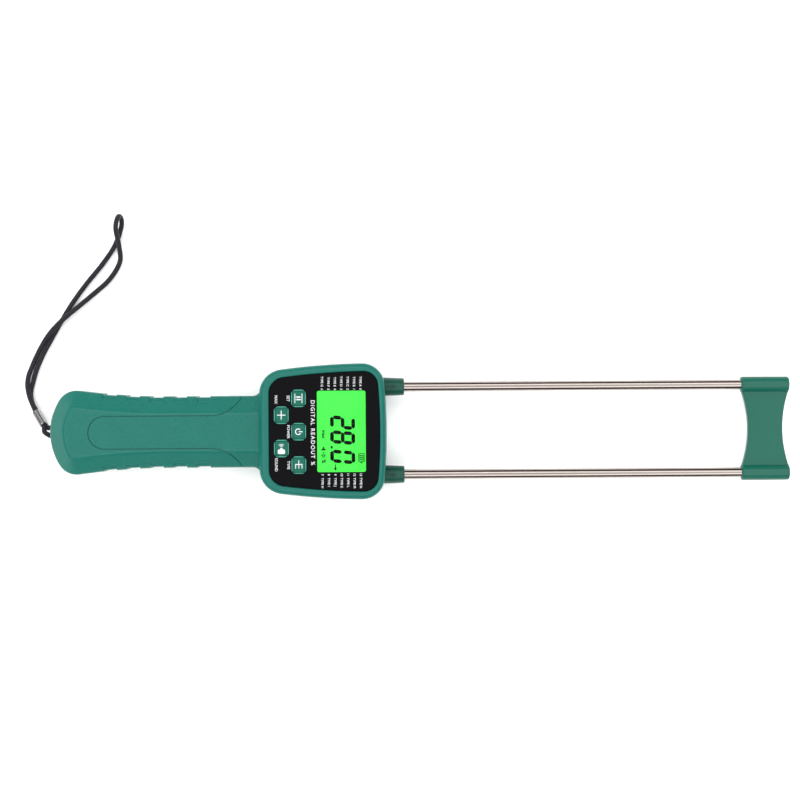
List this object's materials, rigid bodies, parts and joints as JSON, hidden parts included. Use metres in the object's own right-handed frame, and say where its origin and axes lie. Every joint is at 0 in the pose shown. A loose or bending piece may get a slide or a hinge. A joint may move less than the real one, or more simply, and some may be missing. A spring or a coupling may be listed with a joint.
{
  "type": "grain moisture meter",
  "caption": "Hand-held grain moisture meter: gripped handle, instrument head with lit display and keys, probe rods joined by a tip bridge, wrist strap on the tail.",
  "frame": {"origin": "middle of the footprint of the meter itself, without its wrist strap, on the plane its back rests on", "axes": "+X from the tail of the handle to the tips of the probe rods, +Y to the left of a user who holds the handle with the display up, +Z out of the display"},
  "size_m": [0.4609, 0.1724, 0.035],
  "materials": {
    "green_abs": "fine spark-eroded grain",
    "black_foam": "closed-cell foam",
    "black_panel": "satin printed panel",
    "clear_window": "clear",
    "lcd": "lit green liquid crystal display",
    "light_guide": "milky",
    "white_plastic": "satin",
    "rubber_strip": "soft",
    "circuit_board": "solder mask",
    "black_plastic": "satin",
    "key_green": "satin, with a light ring and icon",
    "stainless": "drawn tube",
    "dark_green": "satin",
    "bridge_green": "fine grain",
    "brass": "turned",
    "tinned": "tinned sheet",
    "lead_red": "PVC",
    "lead_blue": "PVC",
    "cell_jacket": "printed sleeve",
    "screw_steel": "zinc plated",
    "ferrule": "ridged metal",
    "strap_cord": "braided cord"
  },
  "bodies": {
    "casing": {"front_shell": "green_abs", "rear_shell": "green_abs", "fascia_panel": "black_panel", "display_window": "clear_window", "lcd_glass": "lcd", "lcd_backlight": "light_guide", "lcd_holder": "white_plastic", "zebra_strip": "rubber_strip", "main_pcb": "circuit_board", "pcb_components": "black_plastic", "key_switches": "black_plastic", "speaker": "black_plastic", "speaker_leads": "lead_red", "probe_rod_left": "stainless", "probe_rod_right": "stainless", "probe_sleeve_left": "dark_green", "probe_sleeve_right": "dark_green", "probe_stud_left": "brass", "probe_stud_right": "brass", "terminal_nuts": "stainless", "terminal_lugs": "tinned", "probe_leads": "lead_blue", "probe_bridge": "bridge_green", "battery_1": "cell_jacket", "battery_2": "cell_jacket", "battery_3": "cell_jacket", "battery_4": "cell_jacket", "battery_contacts": "tinned", "battery_springs": "tinned", "battery_leads": "lead_red", "case_screws": "screw_steel", "pcb_screws": "screw_steel", "strap_pin": "screw_steel", "strap_ferrule": "ferrule", "wrist_strap": "strap_cord"},
    "door": {"battery_door": "green_abs", "door_pad": "black_foam"},
    "adjust_key": {"adjust_key": "key_green"},
    "power_key": {"power_key": "key_green"},
    "varieties_key": {"varieties_key": "key_green"},
    "limit_key": {"limit_key": "key_green"},
    "voice_key": {"voice_key": "key_green"}
  },
  "joints": [
    {"name": "adjust_key_press", "type": "slide", "parent": "casing", "child": "adjust_key", "axis": [0, 0, -1], "range_m": [0, 0.0006], "stiffness_N_per_m": 800},
    {"name": "power_key_press", "type": "slide", "parent": "casing", "child": "power_key", "axis": [0, 0, -1], "range_m": [0, 0.0006], "stiffness_N_per_m": 800},
    {"name": "varieties_key_press", "type": "slide", "parent": "casing", "child": "varieties_key", "axis": [0, 0, -1], "range_m": [0, 0.0006], "stiffness_N_per_m": 800},
    {"name": "limit_key_press", "type": "slide", "parent": "casing", "child": "limit_key", "axis": [0, 0, -1], "range_m": [0, 0.0006], "stiffness_N_per_m": 800},
    {"name": "voice_key_press", "type": "slide", "parent": "casing", "child": "voice_key", "axis": [0, 0, -1], "range_m": [0, 0.0006], "stiffness_N_per_m": 800},
    {"name": "door_hinge", "type": "hinge", "parent": "casing", "child": "door", "pos_m": [-0.1064, 0, 0.0015], "axis": [0, -1, 0], "range_deg": [0, 75]}
  ]
}
